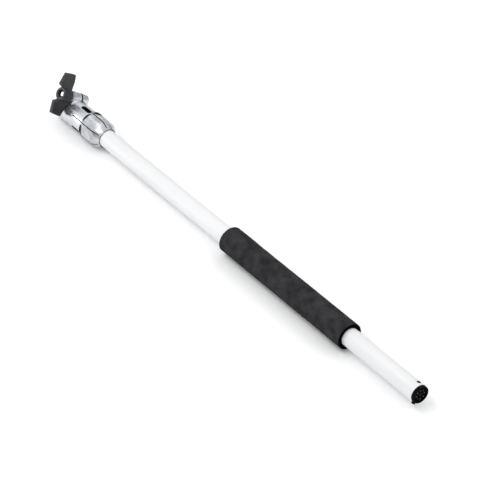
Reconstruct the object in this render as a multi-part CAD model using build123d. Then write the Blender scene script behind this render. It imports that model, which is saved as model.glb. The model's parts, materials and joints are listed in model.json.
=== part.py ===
from build123d import *
import math
import os

# Roller extension pole: a light tube with a foam grip and a butt cap, and at its front end a
# clamp head that holds a paint roller's stem. The head's collet grips the tube when the lock
# nut is tightened, and the wing knob closes the head's split ears on the stem.
# Millimetres and degrees. Origin at the mouth of the roller socket, +X along the pole to the butt.

# ---------------------------------------------------------------- driving dimensions
# Pole
overall_length = 914.0
tube_diameter = 30.0
tube_wall = 1.5
swivel_washer_thickness = 0.9
tube_insert_length = 72.0
tube_insert_wall = 2.2
grip_front = 456.0
grip_length = 295.0
grip_wall = 7.0
grip_edge_radius = 1.6

# Butt cap
cap_flange = 4.4             # how far the cap stands behind the tube
cap_rim_inset = 0.8          # the tube's end shows as a ring round the cap
cap_rim_width = 2.4
cap_recess = 2.6
cap_hub_radius = 3.4
cap_stud_count = 8
cap_stud_radius = 1.15
cap_stud_ring = 7.6          # the studs stand on this radius
cap_stud_drop = 0.9          # studs and hub lie this far under the rim
cap_plug_length = 26.0
cap_plug_wall = 2.0
cap_tab_width = 7.0
cap_tab_reach = 2.2          # how far the tab stands outside the tube
cap_tab_thickness = 2.2
cap_tab_root = 2.0           # how far the tab reaches into the rim
cap_tab_angle = -133.0
barb_hole_diameter = 7.0
barb_setback = 7.4           # hole's centre in front of the tube's end
barb_gap = 0.3
barb_angle = 68.0            # about +X, from +Y towards +Z

# Clamp head casting
head_turn = 54.0             # turn of the head about the pole, screw axis off the vertical
socket_diameter = 25.8       # the roller frame's stem is 25.4
socket_liner_wall = 3.05
socket_depth = 36.0
shoulder_thickness = 4.0
shoulder_lip = 1.9           # the shoulder stands this far inside the stem's bore
barrel_wall = 5.6
barrel_edge_radius = 1.2
liner_wall = 0.95
liner_setback = 0.5          # the stem's liner starts this far inside the mouth
liner_screw_diameter = 3.4
liner_screw_head_diameter = 4.0
liner_screw_head_height = 2.0
liner_screw_slot_width = 0.8
liner_screw_slot_depth = 0.7
liner_screw_sink = 0.2
liner_screw_setback = 0.6    # from the stem's bore
seat_length = 11.5           # step behind the barrel, under the nut's fingers
seat_wall = 3.1
collet_wall = 1.7
collet_length = 38.0         # from the barrel's rear face to the collet's end
collet_nose = 5.0
collet_nose_drop = 0.9
window_setback = 12.0         # behind the shoulder
window_length = 23.4
window_lip = 1.6             # metal left behind a window
window_width = 8.4
slit_setback = 11.0          # behind the shoulder
slit_width = 1.8
jaw_count = 3

# Ears
boss_x = 24.2
boss_wall = 5.65             # round the bolt's hole
ear_setback = 3.0            # ear faces lie this far inside the barrel's width
ear_slit_width = 3.2
ear_slit_tail = 11.8         # the slit runs on this far behind the ears
ear_blend = 3.0
bolt_web = 0.6               # wall between the bolt's hole and the socket's bore
round_ear_radius = 5.0

# Clamp bolt and knob, along the screw axis
bolt_diameter = 8.0
bolt_reach = 15.4            # past the back of the knob's hub
bolt_chamfer = 0.8
key_length = 3.4             # along the bolt
key_width = 9.0              # across the bolt
key_from_axis = 11.5
key_depth = 4.5              # top of the key under the top of the ear
key_end_gap = 0.3
key_side_gap = 0.2
washer_thickness = 1.2
washer_width = 4.65          # from its hole to its edge
spring_washer_thickness = 1.4
spring_washer_width = 2.75
spring_washer_gap = 1.8
insert_collar_height = 0.4
insert_collar_width = 1.2
insert_metal = 2.13          # round the bolt's thread
insert_length = 12.7         # from the back of the hub
hub_wall = 4.6
hub_height = 19.7
hub_edge_radius = 1.0
knob_hole_step = 0.1         # the hole in front of the insert is this much wider
knob_span = 73.0
knob_angle = 8.5
wing_thickness = 6.6
wing_waist = 25.0            # the wings' rear edge bends here
wing_waist_back = 1.4        # heights from the back of the hub
wing_hub_back = 0.6
wing_tip_back = 4.7
wing_tip_front = 24.7
wing_crest = 28.6
wing_crest_radius = 14.0
wing_tip_lean = 1.8
wing_tip_radius = 2.2
wing_root_overlap = 1.0      # how far the wings run into the hub

# Lock nut
nut_gap = 0.6                # between the barrel's rear face and the nut's fingers
nut_tail = 5.3               # behind the wiper
nut_seat_gap = 0.77          # between the seat and the fingers
nut_corner_height = 2.6      # the turned corners stand this far outside the flats
nut_rim_height = 1.4         # the rear rim stands this far outside the tube
nut_cone_length = 14.5       # the rear cone, measured from the corners
shell_wall = 1.1             # at the middle of a flat
finger_count = 6
finger_slot_width = 1.8
finger_tail = 3.0            # ring of shell left behind the slots
collar_rim = 1.7             # front of the nut, left round in front of the flats
flat_corner_radius = 8.0     # round corners at the front end of each flat
flat_draft = 25.0            # slope of the step round a flat
core_lip = 1.5               # the shell reaches this far behind the core
thread_length = 10.5
stop_ring_wire = 1.3
stop_ring_gap = 3.0          # between its ends
stop_travel = 3.55           # from the thread to the ring with the nut tight
slip_ring_length = 6.0
slip_ring_lap = 4.0          # how far the slip ring reaches over the collet's nose
wiper_width = 2.3
wiper_depth = 2.4            # the wiper's groove reaches this far outside the tube

# Fits
thread_gap = 0.07            # radial, between mating threads drawn as plain cylinders
slide_gap = 0.08
loose_gap = 0.35
soft_gap = 0.4

# ---------------------------------------------------------------- worked-out places
tube_radius = tube_diameter / 2
tube_bore = tube_radius - tube_wall
tube_end = overall_length - cap_flange
insert_bore = tube_bore - tube_insert_wall
grip_radius = tube_radius + grip_wall
grip_rear = grip_front + grip_length

rear_bore = tube_radius + slide_gap + liner_wall
stem_bore = socket_diameter / 2
socket_bore = stem_bore + socket_liner_wall
barrel_radius = max(rear_bore, socket_bore) + barrel_wall
collet_radius = rear_bore + collet_wall
shoulder_end = socket_depth + shoulder_thickness
tube_front = shoulder_end + swivel_washer_thickness + slide_gap
window_front = shoulder_end + window_setback
slit_front = shoulder_end + slit_setback
barrel_length = window_front + window_length + window_lip
collet_end = barrel_length + collet_length
liner_screw_x = socket_depth / 2
liner_screw_radius = liner_screw_diameter / 2
liner_screw_head_radius = liner_screw_head_diameter / 2

bolt_radius = bolt_diameter / 2
bolt_hole = bolt_radius + loose_gap
boss_radius = bolt_hole + boss_wall
boss_offset = max(rear_bore, socket_bore) + bolt_web + bolt_hole
boss_top = boss_offset + boss_radius
ear_face = barrel_radius - ear_setback
ear_slit_length = boss_x + boss_radius + ear_slit_tail
bolt_back = -ear_face + round_ear_radius / 2
washer_front = ear_face + washer_thickness
spring_washer_back = washer_front + slide_gap
spring_washer_front = spring_washer_back + spring_washer_thickness
collar_back = spring_washer_front + slide_gap
hub_back = collar_back + insert_collar_height
hub_front = hub_back + hub_height
insert_front = hub_back + insert_length
insert_radius = bolt_radius + thread_gap + insert_metal
hub_radius = insert_radius + hub_wall

seat_radius = rear_bore + seat_wall
seat_end = barrel_length + seat_length
core_front = seat_end + nut_gap
core_radius = seat_radius + nut_seat_gap
thread_end = core_front + thread_length
stop_ring_front = thread_end + stop_travel
stop_ring_rear = stop_ring_front + stop_ring_wire
stop_ring_floor = collet_radius - stop_ring_wire / 2
relief_radius = collet_radius + thread_gap + stop_ring_wire / 2 + thread_gap
slip_front = collet_end - slip_ring_lap
slip_rear = slip_front + slip_ring_length
soft_bore = tube_radius + soft_gap
wiper_rear = slip_rear + soft_gap + wiper_width
wiper_groove = tube_radius + wiper_depth
nut_front = barrel_length + nut_gap
nut_rear = wiper_rear + nut_tail
core_rear = nut_rear - core_lip
nut_flat_radius = core_radius + shell_wall
nut_corner_radius = nut_flat_radius + nut_corner_height
nut_rim_radius = tube_radius + nut_rim_height


# ---------------------------------------------------------------- helpers
def rod(start, end, radius):
    """A cylinder about the X axis."""
    return Pos(start, 0, 0) * Rot(0, 90, 0) * extrude(Circle(radius), end - start)


def tube(start, end, outer, inner):
    """A hollow cylinder about the X axis."""
    return Pos(start, 0, 0) * Rot(0, 90, 0) * extrude(Circle(outer) - Circle(inner), end - start)


def turned(points):
    """A body of revolution about the X axis, from (x, radius) points of its half section."""
    return revolve(make_face(Polyline(points, close=True)), Axis.X)


def pillar(bottom, top, radius):
    """A cylinder about the Z axis."""
    return Pos(0, 0, bottom) * extrude(Circle(radius), top - bottom)


def sleeve(bottom, top, outer, inner):
    """A hollow cylinder about the Z axis."""
    return Pos(0, 0, bottom) * extrude(Circle(outer) - Circle(inner), top - bottom)


def block(x_range, y_range, z_range):
    """A box between two limits on each axis."""
    lows = [min(r) for r in (x_range, y_range, z_range)]
    sizes = [abs(r[1] - r[0]) for r in (x_range, y_range, z_range)]
    corner = (Align.MIN, Align.MIN, Align.MIN)
    return Pos(*lows) * Box(*sizes, align=corner)


def radial_slot(start, end, width, inner, outer, round_ends=(True, True)):
    """A slot along X, cut outwards in +Z between two radii, with round or square ends."""
    half = width / 2
    first = start + half if round_ends[0] else start
    last = end - half if round_ends[1] else end
    outline = Pos((first + last) / 2, 0) * Rectangle(last - first, width)
    if round_ends[0]:
        outline += Pos(first, 0) * Circle(half)
    if round_ends[1]:
        outline += Pos(last, 0) * Circle(half)
    return Pos(0, 0, inner) * extrude(outline, outer - inner)


def at_head(shape):
    """Head parts are drawn with the ears up +Y and the screw axis along +Z, then turned."""
    return Rot(head_turn, 0, 0) * shape


def at_knob(shape):
    """Knob parts are drawn about Z, then set on the ears' screw axis."""
    return at_head(Pos(boss_x, boss_offset, 0) * shape)


# ---------------------------------------------------------------- pole
def main_tube():
    shape = tube(tube_front, tube_end, tube_radius, tube_bore)
    hole = pillar(tube_bore - tube_wall, tube_radius + tube_wall, barb_hole_diameter / 2)
    return shape - Rot(barb_angle - 90, 0, 0) * Pos(tube_end - barb_setback, 0, 0) * hole


def tube_insert():
    return tube(tube_front, tube_front + tube_insert_length, tube_bore, insert_bore)


def foam_grip():
    middle = Pos((grip_front + grip_rear) / 2, (grip_radius + tube_radius) / 2)
    section = middle * Rectangle(grip_length, grip_wall)
    corners = section.vertices().group_by(Axis.Y)[-1]
    return revolve(fillet(corners, grip_edge_radius), Axis.X)


def butt_cap():
    rim = tube_radius - cap_rim_inset
    pocket = rim - cap_rim_width
    floor = overall_length - cap_recess
    shape = rod(tube_end, overall_length, rim)
    shape -= rod(floor, overall_length, pocket)
    stud_top = overall_length - cap_stud_drop
    shape += rod(floor, stud_top, cap_hub_radius)
    stud = Pos(0, cap_stud_ring, 0) * rod(floor, stud_top, cap_stud_radius)
    shape += [Rot(number * 360 / cap_stud_count, 0, 0) * stud for number in range(cap_stud_count)]
    shape += tube(tube_end - cap_plug_length, tube_end, tube_bore, tube_bore - cap_plug_wall)
    tab = block((tube_end, tube_end + cap_tab_thickness), (rim - cap_tab_root, tube_radius + cap_tab_reach),
                (-cap_tab_width / 2, cap_tab_width / 2))
    shape += Rot(cap_tab_angle, 0, 0) * tab
    barb = pillar(tube_bore - cap_plug_wall / 2, tube_radius - barb_gap, barb_hole_diameter / 2 - barb_gap)
    return shape + Rot(barb_angle - 90, 0, 0) * Pos(tube_end - barb_setback, 0, 0) * barb


# ---------------------------------------------------------------- clamp head
def ear_block():
    """Both ears as one block round the screw axis, down to the barrel."""
    outline = Pos(boss_x, boss_offset) * Circle(boss_radius)
    outline += Pos(boss_x, boss_offset / 2) * Rectangle(2 * boss_radius, boss_offset)
    shape = Pos(0, 0, -ear_face) * extrude(outline, 2 * ear_face)
    far_edges = [edge for edge in shape.edges().group_by(Axis.Z)[0] if edge.center().Y > boss_offset]
    return fillet(far_edges, round_ear_radius)


def blend_edges(shape):
    """The edges where the ears' flanks run into the barrel."""
    found = []
    for edge in shape.edges():
        middle = edge.position_at(0.5)
        on_barrel = abs(math.hypot(middle.Y, middle.Z) - barrel_radius) < 0.1
        if on_barrel and abs(middle.X - boss_x) < boss_radius + 0.1 and middle.Y > 0:
            found.append(edge)
    return found


def spread(shape, count, first):
    """Copies of a cutter round the pole's axis, from a first angle off the screw axis."""
    return [Rot(first + number * 360 / count, 0, 0) * shape for number in range(count)]


def clamp_body():
    barrel = rod(0, barrel_length, barrel_radius)
    barrel = fillet(barrel.edges().filter_by(GeomType.CIRCLE), barrel_edge_radius)
    shape = barrel + ear_block()
    shape = fillet(blend_edges(shape), ear_blend)
    shape += rod(barrel_length - 2, seat_end, seat_radius)
    shape += turned([
        (seat_end - 1, 0), (collet_end, 0), (collet_end, collet_radius - collet_nose_drop),
        (collet_end - collet_nose, collet_radius), (seat_end - 1, collet_radius)])
    shape -= rod(-1, socket_depth, socket_bore)
    shape -= rod(0, shoulder_end + 1, stem_bore - shoulder_lip)
    shape -= rod(shoulder_end, collet_end + 1, rear_bore)
    shape -= tube(stop_ring_front, stop_ring_rear, collet_radius + 1, stop_ring_floor)
    shape -= block((-1, ear_slit_length), (0, boss_top + 1), (-ear_slit_width / 2, ear_slit_width / 2))
    shape -= Pos(boss_x, boss_offset) * pillar(bolt_back, ear_face + 1, bolt_hole)
    shape -= key_space(key_length / 2 + key_end_gap, key_width / 2 + key_side_gap, boss_top + 1)
    window = radial_slot(window_front, window_front + window_length, window_width,
                         rear_bore - 1, barrel_radius + 1)
    slit = radial_slot(slit_front, collet_end + 2, slit_width, rear_bore - 1,
                       barrel_radius + 1, (True, False))
    for cutter in spread(window, jaw_count, 180) + spread(slit, jaw_count, 0):
        shape -= cutter
    shape -= at_liner_screw(pillar(socket_bore - 1, barrel_radius + 1, liner_screw_head_radius))
    return at_head(shape)


def at_liner_screw(shape):
    """The liner's screw is drawn up +Z, then set opposite the knob."""
    return Rot(180, 0, 0) * Pos(liner_screw_x, 0, 0) * shape


def key_space(half_length, half_width, top):
    """The slot on top of the second ear, down into the bolt."""
    bottom = boss_offset + bolt_radius / 2
    return block((boss_x - half_width, boss_x + half_width), (bottom, top),
                 (-key_from_axis - half_length, -key_from_axis + half_length))


def socket_liner():
    shape = tube(liner_setback, socket_depth, socket_bore, stem_bore)
    shape -= block((-1, socket_depth + 1), (0, socket_bore + 1), (-ear_slit_width / 2, ear_slit_width / 2))
    shape -= at_liner_screw(pillar(stem_bore - 1, socket_bore + 1, liner_screw_radius))
    return at_head(shape)


def liner_screw():
    top = barrel_radius - liner_screw_sink
    head_bottom = top - liner_screw_head_height
    half_slot = liner_screw_slot_width / 2
    shape = pillar(head_bottom, top, liner_screw_head_radius)
    shape += pillar(stem_bore + liner_screw_setback, head_bottom, liner_screw_radius)
    shape -= block((-liner_screw_head_diameter, liner_screw_head_diameter), (-half_slot, half_slot),
                   (top - liner_screw_slot_depth, top + 1))
    return at_head(at_liner_screw(shape))


def collet_liner():
    return at_head(tube(tube_front, collet_end, rear_bore, tube_radius + slide_gap))


def swivel_washer():
    """A flat ring between the casting's shoulder and the tube's front end."""
    return at_head(tube(shoulder_end, shoulder_end + swivel_washer_thickness, tube_radius, insert_bore))


def stop_ring():
    outer = collet_radius + stop_ring_wire / 2
    shape = tube(stop_ring_front, stop_ring_rear, outer, stop_ring_floor)
    half_gap = stop_ring_gap / 2
    return at_head(shape - block((0, overall_length), (-half_gap, half_gap), (0, outer + 1)))


def clamp_bolt():
    shape = Pos(boss_x, boss_offset, 0) * pillar(bolt_back, hub_back + bolt_reach, bolt_radius)
    front_edge = shape.edges().filter_by(GeomType.CIRCLE).group_by(Axis.Z)[-1]
    shape = chamfer(front_edge, bolt_chamfer)
    return at_head(shape - key_space(key_length / 2, key_width / 2, boss_top))


def bolt_key():
    return at_head(key_space(key_length / 2, key_width / 2, boss_top - key_depth))


# ---------------------------------------------------------------- wing knob
def thrust_washer():
    return at_knob(sleeve(ear_face, washer_front, bolt_hole + washer_width, bolt_hole))


def spring_washer():
    outer = bolt_hole + spring_washer_width
    half_gap = spring_washer_gap / 2
    shape = sleeve(spring_washer_back, spring_washer_front, outer, bolt_hole)
    gap = block((0, outer + 1), (-half_gap, half_gap), (spring_washer_back - 1, spring_washer_front + 1))
    return at_knob(shape - gap)


def knob_insert():
    shape = pillar(collar_back, hub_back, insert_radius + insert_collar_width)
    shape += pillar(hub_back, insert_front, insert_radius)
    return at_knob(shape - pillar(collar_back - 1, insert_front + 1, bolt_radius + thread_gap))


def wing_outline():
    """One wing in the plane of radius and height above the hub's back, with round tip corners."""
    tip = knob_span / 2
    inner_top = hub_height - wing_root_overlap
    points = [(0, 0), (hub_radius, wing_hub_back), (wing_waist, wing_waist_back),
              (tip, wing_tip_back), (tip - wing_tip_lean, wing_tip_front),
              (wing_crest_radius, wing_crest), (hub_radius - wing_root_overlap, inner_top), (0, inner_top)]
    face = make_face(Polyline(points, close=True))
    tips = [corner for corner in face.vertices() if corner.X > wing_waist + 1]
    return fillet(tips, wing_tip_radius)


def wing_knob():
    hub = pillar(hub_back, hub_front, hub_radius)
    hub = fillet(hub.edges().filter_by(GeomType.CIRCLE), hub_edge_radius)
    wing = Plane.YZ * extrude(wing_outline(), wing_thickness / 2, both=True)
    wing = Pos(0, 0, hub_back) * wing
    shape = hub + wing + Rot(0, 0, 180) * wing
    shape -= pillar(hub_back - 1, insert_front, insert_radius)
    shape -= pillar(insert_front, hub_back + wing_crest + 1, insert_radius + knob_hole_step)
    return at_knob(Rot(0, 0, knob_angle) * shape)


# ---------------------------------------------------------------- lock nut
def slip_ring():
    """A ring with a cone inside that faces the collet's nose."""
    outer = relief_radius - slide_gap
    mouth = collet_radius + slide_gap
    nose = collet_radius - collet_nose_drop + soft_gap / 2
    shape = turned([(slip_front, mouth), (slip_front, outer), (slip_rear, outer), (slip_rear, soft_bore),
                    (collet_end + soft_gap, soft_bore), (collet_end + soft_gap, nose)])
    return at_head(shape)


def nut_blank():
    """The nut turned from round bar, with a cone at the rear."""
    return turned([(nut_front, 0), (nut_front, nut_corner_radius), (nut_rear - nut_cone_length, nut_corner_radius),
                   (nut_rear, nut_rim_radius), (nut_rear, 0)])


def flat_cut():
    """What is milled away above one flat, with round corners at its front end."""
    half = nut_corner_radius
    corner = flat_corner_radius
    front = nut_front + collar_rim
    reach = nut_flat_radius * math.tan(math.pi / finger_count)
    outline = Pos((front + nut_rear + 1) / 2, 0) * Rectangle(nut_rear + 1 - front, 2 * half)
    for side in (-1, 1):
        middle = reach - corner
        outline -= Pos(front + corner / 2, side * (middle + half)) * Rectangle(corner, 2 * half)
        outline += Pos(front + corner, side * middle) * Circle(corner)
    return Pos(0, 0, nut_flat_radius) * extrude(outline, nut_corner_height + 0.5, taper=-flat_draft)


def cone_radius(x):
    """Radius of the nut's rear cone at a place along the pole."""
    share = (nut_rear - x) / nut_cone_length
    return nut_rim_radius + share * (nut_corner_radius - nut_rim_radius)


def nut_core_outside():
    """(x, radius) points of the core's outside and of the shell's inside, front to rear."""
    share = (nut_flat_radius - nut_rim_radius) / (nut_corner_radius - nut_rim_radius)
    taper = nut_rear - nut_cone_length * share
    return [(taper, core_radius), (core_rear, cone_radius(core_rear) - shell_wall)]


def nut_shell():
    inside = [(nut_front - 1, 0), (nut_front - 1, core_radius)] + nut_core_outside() + [
        (core_rear, soft_bore), (nut_rear + 1, soft_bore), (nut_rear + 1, 0)]
    shape = nut_blank() - turned(inside)
    for cutter in spread(flat_cut(), finger_count, 180 / finger_count):
        shape -= cutter
    slot = radial_slot(nut_front - 1, nut_rear - finger_tail, finger_slot_width, tube_radius,
                       nut_corner_radius + 1, (False, True))
    for cutter in spread(slot, finger_count, 0):
        shape -= cutter
    return at_head(shape)


def nut_core():
    thread = collet_radius + thread_gap
    relief_end = slip_rear + slide_gap
    shape = turned([(core_front, thread), (core_front, core_radius)] + nut_core_outside() + [
        (core_rear, soft_bore), (wiper_rear, soft_bore), (wiper_rear, wiper_groove),
        (relief_end, wiper_groove), (relief_end, relief_radius), (thread_end, relief_radius),
        (thread_end, thread)])
    return at_head(shape)


def nut_wiper():
    return at_head(tube(wiper_rear - wiper_width, wiper_rear, wiper_groove, soft_bore))


# ---------------------------------------------------------------- write the pieces
pieces = {
    "main_tube": main_tube,
    "tube_insert": tube_insert,
    "foam_grip": foam_grip,
    "butt_cap": butt_cap,
    "clamp_body": clamp_body,
    "socket_liner": socket_liner,
    "liner_screw": liner_screw,
    "collet_liner": collet_liner,
    "swivel_washer": swivel_washer,
    "stop_ring": stop_ring,
    "clamp_bolt": clamp_bolt,
    "bolt_key": bolt_key,
    "thrust_washer": thrust_washer,
    "spring_washer": spring_washer,
    "wing_knob": wing_knob,
    "knob_insert": knob_insert,
    "slip_ring": slip_ring,
    "nut_shell": nut_shell,
    "nut_core": nut_core,
    "nut_wiper": nut_wiper,
}

os.makedirs("parts", exist_ok=True)
for name, make in pieces.items():
    export_step(make(), "parts/" + name + ".step")
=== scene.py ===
import json
import math
import bpy
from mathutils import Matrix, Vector


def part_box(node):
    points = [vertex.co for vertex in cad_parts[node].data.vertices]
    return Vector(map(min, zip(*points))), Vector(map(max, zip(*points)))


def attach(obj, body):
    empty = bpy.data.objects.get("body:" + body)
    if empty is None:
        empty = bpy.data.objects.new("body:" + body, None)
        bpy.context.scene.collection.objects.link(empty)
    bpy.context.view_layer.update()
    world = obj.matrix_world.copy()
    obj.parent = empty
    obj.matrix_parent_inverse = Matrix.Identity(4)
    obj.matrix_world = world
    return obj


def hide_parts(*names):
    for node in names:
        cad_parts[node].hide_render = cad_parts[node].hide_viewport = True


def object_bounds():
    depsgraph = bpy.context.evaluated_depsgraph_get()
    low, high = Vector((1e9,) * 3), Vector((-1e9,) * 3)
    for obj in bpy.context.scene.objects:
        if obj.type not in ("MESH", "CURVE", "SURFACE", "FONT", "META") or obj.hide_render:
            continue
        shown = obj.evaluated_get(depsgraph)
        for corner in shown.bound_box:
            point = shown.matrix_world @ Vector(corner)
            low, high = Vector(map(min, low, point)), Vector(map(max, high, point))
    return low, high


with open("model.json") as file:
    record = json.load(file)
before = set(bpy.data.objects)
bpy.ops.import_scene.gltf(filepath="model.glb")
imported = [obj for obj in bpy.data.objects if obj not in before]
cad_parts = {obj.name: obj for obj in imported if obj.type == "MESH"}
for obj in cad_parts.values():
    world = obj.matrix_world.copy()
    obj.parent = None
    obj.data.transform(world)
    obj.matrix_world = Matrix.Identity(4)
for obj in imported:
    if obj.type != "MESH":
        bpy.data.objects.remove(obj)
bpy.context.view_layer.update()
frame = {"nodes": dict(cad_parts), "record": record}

# ---------------------------------------------------------------- places and sizes, metres
mm = 0.001
grip_low, grip_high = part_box("foam_grip")
tube_low, tube_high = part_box("main_tube")
tube_radius = (tube_high.y - tube_low.y) / 2
grip_radius = (grip_high.y - grip_low.y) / 2
grip_sides = 96                 # corners round the grip
grip_runs = 140                 # cuts along the grip
grip_swell = 0.5 * mm           # room left for the uneven skin
grip_end_round = 1.3 * mm
skin_depth = 2 * mm             # vertices this far off the tube take the uneven skin
head_turn = math.radians(54)
screw_way = Vector((0, -math.sin(head_turn), math.cos(head_turn)))
ear_way = Vector((0, math.cos(head_turn), math.sin(head_turn)))
barrel_radius = 21.63 * mm
ear_slit_half = 1.6 * mm
window_from = 45 * mm           # the barrel's windows and slits lie behind this
stud_ring_low = 6.3 * mm
stud_ring_high = 8.9 * mm
stud_tops_from = 0.9125
on_axis = 0.1 * mm
casting_edge = 0.35 * mm
nut_edge = 0.25 * mm
cap_edge = 0.2 * mm
edge_steps = 3
sharp_angle = math.radians(32)
merge_distance = 0.003 * mm
flat_angle = math.radians(0.4)
knob_voxel = 0.45 * mm
knob_smoothing = 7
painted_light_attribute = "marked"                 # the attribute that holds faces given painted shade or a painted highlight

# ---------------------------------------------------------------- camera, floor and lights
view_azimuth = math.radians(53.1)
view_elevation = math.radians(37.8)
view_distance = 4.3
view_lens = 201.6
view_sensor = 36
view_near, view_far = 0.1, 100
aim = Vector((0.479, 0.021, -0.017))
floor_gap = 0.4 * mm
floor_size = 12
world_strength = 0.92


def make_camera():
    """The camera, on a long lens, looking down along the pole from its butt's side."""
    back = Vector((math.sin(view_azimuth) * math.cos(view_elevation),
                   -math.cos(view_azimuth) * math.cos(view_elevation),
                   math.sin(view_elevation)))
    camera = bpy.data.objects.new("camera", bpy.data.cameras.new("camera"))
    bpy.context.scene.collection.objects.link(camera)
    camera.location = aim + back * view_distance
    camera.rotation_euler = (-back).to_track_quat("-Z", "Y").to_euler()
    camera.data.lens = view_lens
    camera.data.sensor_width = view_sensor
    camera.data.clip_start = view_near
    camera.data.clip_end = view_far
    bpy.context.scene.camera = camera


def area_light(name, place, size, power):
    """A soft rectangular light that faces the middle of the pole."""
    light = bpy.data.lights.new(name, "AREA")
    light.shape = "RECTANGLE"
    light.size, light.size_y = size
    light.energy = power
    lamp = bpy.data.objects.new(name, light)
    bpy.context.scene.collection.objects.link(lamp)
    lamp.location = place
    lamp.rotation_euler = (aim - Vector(place)).to_track_quat("-Z", "Y").to_euler()


def make_studio():
    """A white studio whose walls fall off to a cool grey low down, and three soft lights."""
    world = bpy.data.worlds.new("studio")
    bpy.context.scene.world = world
    world.use_nodes = True
    tree = world.node_tree
    place = tree.nodes.new("ShaderNodeTexCoord")
    split = tree.nodes.new("ShaderNodeSeparateXYZ")
    ramp = tree.nodes.new("ShaderNodeValToRGB")
    tree.links.new(place.outputs["Generated"], split.inputs[0])
    tree.links.new(split.outputs["Z"], ramp.inputs["Fac"])
    tree.links.new(ramp.outputs["Color"], tree.nodes["Background"].inputs["Color"])
    colour_steps(ramp, [(0.0, (0.30, 0.32, 0.35)), (0.22, (0.42, 0.45, 0.49)), (0.40, (0.85, 0.86, 0.88)),
                        (0.62, (1.0, 1.0, 1.0))])
    tree.nodes["Background"].inputs["Strength"].default_value = world_strength
    area_light("key_light", (-0.2, -1.5, 3.2), (2.6, 1.4), 40)
    area_light("side_light", (2.2, 1.6, 2.0), (1.4, 1.4), 12)
    area_light("head_light", (-1.5, -1.7, 0.62), (0.9, 0.9), 9)
    bpy.context.scene.view_settings.view_transform = "Standard"


def make_floor():
    """A pale matt floor just under the pole."""
    level = min(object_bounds()[0].z, 0) - floor_gap
    bpy.ops.mesh.primitive_plane_add(size=floor_size, location=(aim.x, 0, level))
    floor = bpy.context.object
    floor.name = "floor"
    material, tree, shader = new_material("pale_floor", (0.96, 0.96, 0.96), 0.9)
    floor.data.materials.append(material)


# ---------------------------------------------------------------- material helpers
def new_material(name, colour, roughness, metallic=0.0):
    """A new material with its node tree and its shader."""
    material = bpy.data.materials.new(name)
    material.use_nodes = True
    tree = material.node_tree
    shader = tree.nodes["Principled BSDF"]
    shader.inputs["Base Color"].default_value = (*colour, 1)
    shader.inputs["Roughness"].default_value = roughness
    shader.inputs["Metallic"].default_value = metallic
    return material, tree, shader


def colour_steps(ramp, steps):
    """Sets a colour ramp from (place, colour) steps."""
    elements = ramp.color_ramp.elements
    while len(elements) < len(steps):
        elements.new(1.0)
    for element, (place, colour) in zip(elements, steps):
        element.position = place
        element.color = (*colour, 1)


def noise(tree, scale, detail=3.0, stretch=(1, 1, 1)):
    """Noise on the object's own coordinates, stretched along its axes."""
    place = tree.nodes.new("ShaderNodeTexCoord")
    mapping = tree.nodes.new("ShaderNodeMapping")
    mapping.inputs["Scale"].default_value = stretch
    pattern = tree.nodes.new("ShaderNodeTexNoise")
    pattern.inputs["Scale"].default_value = scale
    pattern.inputs["Detail"].default_value = detail
    tree.links.new(place.outputs["Object"], mapping.inputs["Vector"])
    tree.links.new(mapping.outputs["Vector"], pattern.inputs["Vector"])
    return pattern.outputs["Fac"]


def cells(tree, scale):
    """Small closed cells on the object's own coordinates."""
    place = tree.nodes.new("ShaderNodeTexCoord")
    pattern = tree.nodes.new("ShaderNodeTexVoronoi")
    pattern.inputs["Scale"].default_value = scale
    tree.links.new(place.outputs["Object"], pattern.inputs["Vector"])
    return pattern.outputs["Distance"]


def tint(tree, pattern, steps):
    """Colours a pattern with (place, colour) steps."""
    ramp = tree.nodes.new("ShaderNodeValToRGB")
    colour_steps(ramp, steps)
    tree.links.new(pattern, ramp.inputs["Fac"])
    return ramp.outputs["Color"]


def spread_values(tree, pattern, low, high):
    """Maps a pattern from its usual range to two limits."""
    span = tree.nodes.new("ShaderNodeMapRange")
    span.inputs["From Min"].default_value = 0.3
    span.inputs["From Max"].default_value = 0.7
    span.inputs["To Min"].default_value = low
    span.inputs["To Max"].default_value = high
    tree.links.new(pattern, span.inputs["Value"])
    return span.outputs["Result"]


def paint_marked_faces(tree, painted_colour, clean):
    """Paints the marked faces a colour of their own, by the piece's attribute: painted shade or a painted
    highlight.
    """
    mask = tree.nodes.new("ShaderNodeAttribute")
    mask.attribute_name = painted_light_attribute
    mix = tree.nodes.new("ShaderNodeMix")
    mix.data_type = "RGBA"
    tree.links.new(mask.outputs["Fac"], mix.inputs[0])
    tree.links.new(clean, mix.inputs[6])
    mix.inputs[7].default_value = (*painted_colour, 1)
    return mix.outputs[2]


def roughened(tree, rough, clean):
    """Makes the marked faces rough, by the piece's attribute."""
    mask = tree.nodes.new("ShaderNodeAttribute")
    mask.attribute_name = painted_light_attribute
    mix = tree.nodes.new("ShaderNodeMix")
    tree.links.new(mask.outputs["Fac"], mix.inputs[0])
    tree.links.new(clean, mix.inputs[2])
    mix.inputs[3].default_value = rough
    return mix.outputs[0]


def painted_crevice_shade(tree, finish, dark, reach):
    """Darkens a colour in corners and along the foot of a step: painted shade, from ambient occlusion."""
    shade = tree.nodes.new("ShaderNodeAmbientOcclusion")
    shade.samples = 12
    shade.inputs["Distance"].default_value = reach
    edge = tree.nodes.new("ShaderNodeMapRange")
    edge.inputs["From Min"].default_value = 0.45
    edge.inputs["From Max"].default_value = 0.85
    tree.links.new(shade.outputs["AO"], edge.inputs["Value"])
    mix = tree.nodes.new("ShaderNodeMix")
    mix.data_type = "RGBA"
    tree.links.new(edge.outputs["Result"], mix.inputs[0])
    mix.inputs[6].default_value = (*dark, 1)
    tree.links.new(finish, mix.inputs[7])
    return mix.outputs[2]


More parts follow.
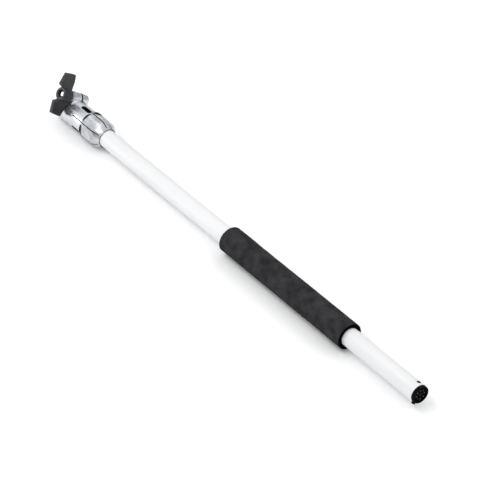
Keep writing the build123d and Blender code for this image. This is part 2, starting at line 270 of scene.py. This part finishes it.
def worn_and_highlit_edges(tree, body, edge_wear_and_highlight):
    """Lightens a colour on the outer edges: partly rubbed wear, partly a painted highlight."""
    shape = tree.nodes.new("ShaderNodeNewGeometry")
    edge = tree.nodes.new("ShaderNodeMapRange")
    edge.inputs["From Min"].default_value = 0.51
    edge.inputs["From Max"].default_value = 0.60
    tree.links.new(shape.outputs["Pointiness"], edge.inputs["Value"])
    mix = tree.nodes.new("ShaderNodeMix")
    mix.data_type = "RGBA"
    tree.links.new(edge.outputs["Result"], mix.inputs[0])
    tree.links.new(body, mix.inputs[6])
    mix.inputs[7].default_value = (*edge_wear_and_highlight, 1)
    return mix.outputs[2]


def raise_by(tree, pattern, height, strength=1.0, under=None):
    """A bump of a given height, on top of another one if there is one."""
    bump = tree.nodes.new("ShaderNodeBump")
    bump.inputs["Strength"].default_value = strength
    bump.inputs["Distance"].default_value = height
    tree.links.new(pattern, bump.inputs["Height"])
    if under:
        tree.links.new(under, bump.inputs["Normal"])
    return bump.outputs["Normal"]


# ---------------------------------------------------------------- materials
def powder_coat():
    """White satin paint with a faint orange peel and a few long rub marks."""
    material, tree, shader = new_material("white_powder_coat", (0.76, 0.76, 0.76), 0.4)
    drift = noise(tree, 14, 4, (0.25, 1, 1))
    rubs = noise(tree, 160, 3, (0.04, 1, 1))
    tree.links.new(tint(tree, drift, [(0.35, (0.72, 0.72, 0.725)), (0.62, (0.78, 0.78, 0.78))]),
                   shader.inputs["Base Color"])
    tree.links.new(spread_values(tree, rubs, 0.34, 0.46), shader.inputs["Roughness"])
    peel = raise_by(tree, noise(tree, 900, 2), 0.02 * mm, 0.6)
    tree.links.new(peel, shader.inputs["Normal"])
    shader.inputs["Coat Weight"].default_value = 0.15
    return material


def grip_foam():
    """Matt black foam with fine cells and soft mottling, and near-black painted shade on its cut ends and
    inside.
    """
    material, tree, shader = new_material("black_foam", (0.03, 0.03, 0.031), 0.95)
    mottle = noise(tree, 60, 8)
    skin = tint(tree, mottle, [(0.35, (0.021, 0.021, 0.022)), (0.65, (0.042, 0.042, 0.044))])
    # near-black painted shade on the marked faces: the foam's ends and inside
    tree.links.new(paint_marked_faces(tree, (0.002, 0.002, 0.002), skin), shader.inputs["Base Color"])
    pores = raise_by(tree, cells(tree, 1100), 0.25 * mm, 0.7)
    tree.links.new(raise_by(tree, noise(tree, 420, 4), 0.2 * mm, 0.5, pores), shader.inputs["Normal"])
    shader.inputs["Specular IOR Level"].default_value = 0.03
    return material


def moulded_plastic(name, dark, light, roughness, grain, gloss, edge_wear_and_highlight, marked_highlight):
    """Black moulded plastic with a fine grain, lighter edges (rubbed wear and a painted highlight), a
    painted highlight on marked faces and a slightly uneven sheen.
    """
    material, tree, shader = new_material(name, light, roughness)
    body = tint(tree, noise(tree, 60, 5), [(0.35, dark), (0.65, light)])
    # the marked faces, the cap's stud tops, take a painted highlight
    body = paint_marked_faces(tree, marked_highlight, body)
    # edges lightened: rubbed wear and a painted highlight
    tree.links.new(worn_and_highlit_edges(tree, body, edge_wear_and_highlight), shader.inputs["Base Color"])
    tree.links.new(spread_values(tree, noise(tree, 130, 4), roughness - 0.06, roughness + 0.08),
                   shader.inputs["Roughness"])
    tree.links.new(raise_by(tree, noise(tree, grain, 2), 0.05 * mm, 0.5), shader.inputs["Normal"])
    shader.inputs["Specular IOR Level"].default_value = gloss
    return material


def cast_metal():
    """Zinc casting, polished outside with low waves, with painted shade in its corners and near-black
    painted shade on its rough, as-cast slits and bores.
    """
    material, tree, shader = new_material("polished_casting", (0.80, 0.81, 0.83), 0.2, 1.0)
    polish = tint(tree, noise(tree, 38, 3), [(0.35, (0.58, 0.60, 0.63)), (0.62, (0.72, 0.73, 0.75))])
    # painted shade darkens the casting's corners and the foot of its steps
    polish = painted_crevice_shade(tree, polish, (0.05, 0.05, 0.05), 2.0 * mm)
    # near-black painted shade on the marked faces: slits, bores, windows and rear face
    tree.links.new(paint_marked_faces(tree, (0.02, 0.02, 0.018), polish), shader.inputs["Base Color"])
    gloss = spread_values(tree, noise(tree, 240, 5), 0.24, 0.36)
    tree.links.new(roughened(tree, 0.7, gloss), shader.inputs["Roughness"])
    waves = raise_by(tree, noise(tree, 45, 2), 0.25 * mm, 0.3)
    tree.links.new(raise_by(tree, noise(tree, 900, 3), 0.015 * mm, 0.3, waves), shader.inputs["Normal"])
    return material


def nut_metal():
    """Nickel finish of the lock nut, with fine marks along its flats, painted shade in its corners and
    near-black painted shade in its slots, inside and on the steps at its flats.
    """
    material, tree, shader = new_material("nickel_finish", (0.84, 0.85, 0.86), 0.24, 1.0)
    finish = tint(tree, noise(tree, 55, 3), [(0.35, (0.42, 0.435, 0.465)), (0.62, (0.60, 0.605, 0.615))])
    # painted shade darkens the nut's corners and the foot of the steps at its flats
    finish = painted_crevice_shade(tree, finish, (0.02, 0.02, 0.02), 2.4 * mm)
    # near-black painted shade on the marked faces: the nut's inside, slots and steps
    tree.links.new(paint_marked_faces(tree, (0.012, 0.012, 0.012), finish), shader.inputs["Base Color"])
    gloss = spread_values(tree, noise(tree, 300, 4, (3, 1, 1)), 0.22, 0.36)
    tree.links.new(roughened(tree, 0.7, gloss), shader.inputs["Roughness"])
    tree.links.new(raise_by(tree, noise(tree, 260, 3, (4, 1, 1)), 0.02 * mm, 0.3), shader.inputs["Normal"])
    return material


def machined_metal(name, dark, light, roughness, stretch):
    """Plated or turned metal with fine marks along one way."""
    material, tree, shader = new_material(name, light, roughness, 1.0)
    body = tint(tree, noise(tree, 200, 4), [(0.35, dark), (0.65, light)])
    tree.links.new(body, shader.inputs["Base Color"])
    tree.links.new(spread_values(tree, noise(tree, 500, 3, stretch), roughness - 0.08, roughness + 0.12),
                   shader.inputs["Roughness"])
    tree.links.new(raise_by(tree, noise(tree, 700, 2, stretch), 0.02 * mm, 0.5), shader.inputs["Normal"])
    return material


def wiper_rubber():
    """Soft black rubber with a dusty bloom."""
    material, tree, shader = new_material("soft_rubber", (0.02, 0.02, 0.02), 0.75)
    body = tint(tree, noise(tree, 180, 5), [(0.4, (0.012, 0.012, 0.012)), (0.7, (0.04, 0.04, 0.04))])
    tree.links.new(body, shader.inputs["Base Color"])
    tree.links.new(raise_by(tree, noise(tree, 900, 3), 0.04 * mm, 0.6), shader.inputs["Normal"])
    return material


finishes = {
    "tube_white": powder_coat(),
    "grip_foam": grip_foam(),
    # the cap's marked stud tops take a painted highlight of the lighter grey given last
    "black_plastic": moulded_plastic(
        "black_moulding", (0.0005, 0.0005, 0.0005), (0.001, 0.001, 0.001), roughness=0.5, grain=700,
        gloss=0.02, edge_wear_and_highlight=(0.012, 0.012, 0.012), marked_highlight=(0.13, 0.13, 0.13)),
    "knob_plastic": moulded_plastic(
        "knob_moulding", (0.010, 0.010, 0.011), (0.018, 0.018, 0.019), roughness=0.36, grain=900,
        gloss=0.45, edge_wear_and_highlight=(0.12, 0.12, 0.12), marked_highlight=(0.03, 0.03, 0.03)),
    "black_nylon": moulded_plastic(
        "black_nylon", (0.006, 0.006, 0.006), (0.012, 0.012, 0.012), roughness=0.34, grain=500,
        gloss=0.3, edge_wear_and_highlight=(0.02, 0.02, 0.02), marked_highlight=(0.02, 0.02, 0.02)),
    "cast_metal": cast_metal(),
    "nut_metal": nut_metal(),
    "brass": machined_metal("turned_brass", (0.55, 0.40, 0.17), (0.72, 0.55, 0.27), 0.3, (6, 1, 1)),
    "steel": machined_metal("zinc_plate", (0.62, 0.63, 0.66), (0.80, 0.81, 0.83), 0.26, (1, 1, 5)),
    "wiper_rubber": wiper_rubber(),
}


# ---------------------------------------------------------------- piece helpers
def alone(piece):
    """Makes a piece the only selected and the active object."""
    bpy.ops.object.select_all(action="DESELECT")
    piece.select_set(True)
    bpy.context.view_layer.objects.active = piece


def edit(piece):
    """Opens a piece in edit mode."""
    alone(piece)
    bpy.ops.object.mode_set(mode="EDIT")


def done():
    """Leaves edit mode."""
    bpy.ops.object.mode_set(mode="OBJECT")


def finish_with(piece, kind, **settings):
    """Adds a modifier with its settings and applies it."""
    alone(piece)
    modifier = piece.modifiers.new(kind.lower(), kind)
    for setting, value in settings.items():
        setattr(modifier, setting, value)
    bpy.ops.object.modifier_apply(modifier=modifier.name)


def worked_copy(node, name):
    """A new piece that starts from a node's shape, with its faces joined up."""
    piece = bpy.data.objects.new(name, frame["nodes"][node].data.copy())
    piece.data.materials.clear()
    bpy.context.scene.collection.objects.link(piece)
    edit(piece)
    bpy.ops.mesh.select_all(action="SELECT")
    bpy.ops.mesh.customdata_custom_splitnormals_clear()
    bpy.ops.mesh.remove_doubles(threshold=merge_distance)
    bpy.ops.mesh.dissolve_limited(angle_limit=flat_angle)
    done()
    return piece


def set_down(piece, body, node, slot_name):
    """Gives a finished piece its finish, its body and the node that it stands for."""
    piece.data.materials.append(finishes[slot_name])
    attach(piece, body)
    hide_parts(node)


def softened(node, name, body, slot_name, edge, painted_light_faces):
    """A node's shape with its edges rounded over, as casting and polishing leave them."""
    piece = worked_copy(node, name)
    mark_painted_light(piece, painted_light_faces)
    finish_with(piece, "BEVEL", width=edge, segments=edge_steps, limit_method="ANGLE",
                angle_limit=sharp_angle, use_clamp_overlap=True)
    alone(piece)
    bpy.ops.object.shade_smooth_by_angle(angle=sharp_angle)
    set_down(piece, body, node, slot_name)


def mark_painted_light(piece, test):
    """Marks the faces that a test picks, for the finish to paint with shade or a highlight."""
    marks = piece.data.attributes.new(painted_light_attribute, "FLOAT", "FACE")
    for face in piece.data.polygons:
        marks.data[face.index].value = 1.0 if test(face) else 0.0


def facing_out(face):
    """How far a face looks away from the pole's axis: 1 straight out, -1 straight in."""
    outward = Vector((0, face.center.y, face.center.z))
    return face.normal.dot(outward.normalized()) if outward.length > on_axis else 0.0


def shaded_in_casting(face):
    """The casting's bores, windows and slits, and its rear face, are left rough as cast and get near-black
    painted shade.
    """
    across = face.center.dot(screw_way)
    in_slit = abs(across) < ear_slit_half * 1.1 and abs(face.normal.dot(screw_way)) > 0.9
    outside = face.center.yz.length > barrel_radius * 0.8
    in_window = face.center.x > window_from and outside and facing_out(face) < 0.35
    return in_slit or in_window or (facing_out(face) < -0.8 and face.center.dot(ear_way) < barrel_radius)


def highlit_on_cap(face):
    """The tops of the cap's small studs get a painted highlight, a lighter grey."""
    off_axis = face.center.yz.length
    in_ring = stud_ring_low < off_axis < stud_ring_high
    return in_ring and face.normal.x > 0.9 and face.center.x > stud_tops_from


def shaded_in_nut(face):
    """The nut's inside, its slots and the steps at the front of its flats get near-black painted shade and
    a rough finish.
    """
    return facing_out(face) < 0.6


def pick_faces(piece, wanted):
    """Selects the faces of the piece in edit mode that a test picks."""
    bpy.ops.mesh.select_all(action="DESELECT")
    bpy.ops.object.mode_set(mode="OBJECT")
    for face in piece.data.polygons:
        face.select = wanted(face)
    bpy.ops.object.mode_set(mode="EDIT")


def pick_edges(piece, wanted):
    """Selects the edges of the piece in edit mode whose two ends pass a test."""
    bpy.ops.mesh.select_all(action="DESELECT")
    bpy.ops.object.mode_set(mode="OBJECT")
    corners = piece.data.vertices
    for line in piece.data.edges:
        line.select = wanted(*[corners[index].co for index in line.vertices])
    bpy.ops.object.mode_set(mode="EDIT")


# ---------------------------------------------------------------- pieces
def foam_sleeve():
    """The foam grip: a soft sleeve with rounded ends and a slightly uneven skin."""
    length = grip_high.x - grip_low.x
    middle = (grip_high.x + grip_low.x) / 2
    bpy.ops.object.select_all(action="DESELECT")
    bpy.ops.mesh.primitive_cylinder_add(
        vertices=grip_sides, radius=grip_radius - grip_swell, depth=length, end_fill_type="NGON",
        location=(middle, 0, 0), rotation=(0, math.pi / 2, 0))
    piece = bpy.context.object
    piece.name = "foam_sleeve"
    bpy.ops.object.transform_apply(location=True, rotation=True, scale=True)
    edit(piece)
    bpy.ops.mesh.select_mode(type="FACE")
    pick_faces(piece, lambda face: abs(face.normal.x) > 0.9)
    bpy.ops.mesh.inset(thickness=grip_radius - grip_swell - tube_radius, use_individual=True)
    bpy.ops.mesh.bridge_edge_loops()
    done()
    finish_with(piece, "BEVEL", width=grip_end_round, segments=4, limit_method="ANGLE",
                angle_limit=math.radians(60))
    edit(piece)
    bpy.ops.mesh.select_mode(type="EDGE")
    pick_edges(piece, lambda a, b: abs(a.x - b.x) > length / 2)
    bpy.ops.mesh.subdivide(number_cuts=grip_runs)
    done()
    skin = piece.vertex_groups.new(name="skin")
    skin_from = tube_radius + skin_depth
    outside = [v.index for v in piece.data.vertices if math.hypot(v.co.y, v.co.z) > skin_from]
    skin.add(outside, 1.0, "REPLACE")
    for name, size, strength in (("foam_swell", 0.045, 0.9 * mm), ("foam_skin", 0.006, 0.25 * mm)):
        texture = bpy.data.textures.new(name, "CLOUDS")
        texture.noise_scale = size
        finish_with(piece, "DISPLACE", texture=texture, strength=strength, mid_level=0.5,
                    vertex_group="skin", texture_coords="LOCAL")
    piece.vertex_groups.clear()
    # the foam's ends and inside are marked for near-black painted shade
    mark_painted_light(piece, lambda face: abs(face.normal.x) > 0.3 or facing_out(face) < 0)
    alone(piece)
    bpy.ops.object.shade_smooth_by_angle(angle=math.radians(50))
    set_down(piece, "pole", "foam_grip", "grip_foam")


def knob_moulding():
    """The wing knob: moulded in one, every edge rounded over."""
    piece = worked_copy("wing_knob", "knob_moulding")
    finish_with(piece, "REMESH", mode="VOXEL", voxel_size=knob_voxel)
    finish_with(piece, "SMOOTH", factor=0.5, iterations=knob_smoothing)
    alone(piece)
    bpy.ops.object.shade_smooth()
    set_down(piece, "knob", "wing_knob", "knob_plastic")


def dress_nodes():
    """Gives every node that stays its finish."""
    slots = {entry["node"]: entry["material_slot"] for entry in frame["record"]["subparts"]}
    for name, node in frame["nodes"].items():
        for holder in node.material_slots:
            holder.material = finishes[slots[name]]


bpy.ops.object.select_all(action="DESELECT")
dress_nodes()
foam_sleeve()
knob_moulding()
# marked faces take near-black painted shade in the casting and the nut, and a painted highlight on the
# cap's studs
softened("clamp_body", "head_casting", "head", "cast_metal", casting_edge, shaded_in_casting)
softened("nut_shell", "nut_casing", "lock_nut", "nut_metal", nut_edge, shaded_in_nut)
softened("butt_cap", "cap_moulding", "pole", "black_plastic", cap_edge, highlit_on_cap)
make_camera()
make_studio()
make_floor()
